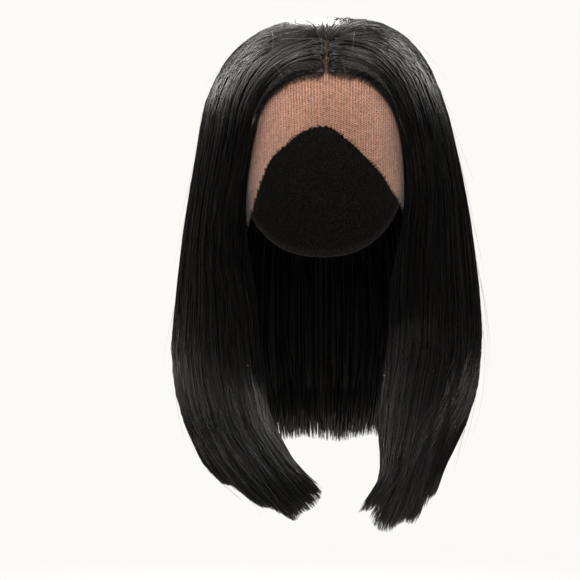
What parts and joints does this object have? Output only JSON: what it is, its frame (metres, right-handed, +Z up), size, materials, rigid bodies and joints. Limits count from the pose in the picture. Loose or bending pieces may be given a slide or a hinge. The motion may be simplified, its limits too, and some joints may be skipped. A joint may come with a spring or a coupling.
{
  "type": "bob wig",
  "caption": "Shoulder-length straight black bob wig with a centre part, a cut lace front and a stretch cap, in the form it takes when worn.",
  "frame": {"origin": "the highest point of the inside of the cap, where it rests on the crown of a head", "axes": "+Z up, -Y out of the face opening, +X to the right of somebody who looks at the face opening"},
  "size_m": [0.2473, 0.2176, 0.4031],
  "materials": {
    "hair": "satin",
    "lace": "matt net",
    "cap_net": "matt net"
  },
  "bodies": {
    "root": {"lace_front": "lace", "cap": "cap_net", "hair_left": "hair", "hair_right": "hair", "hair_back": "hair"}
  },
  "joints": []
}
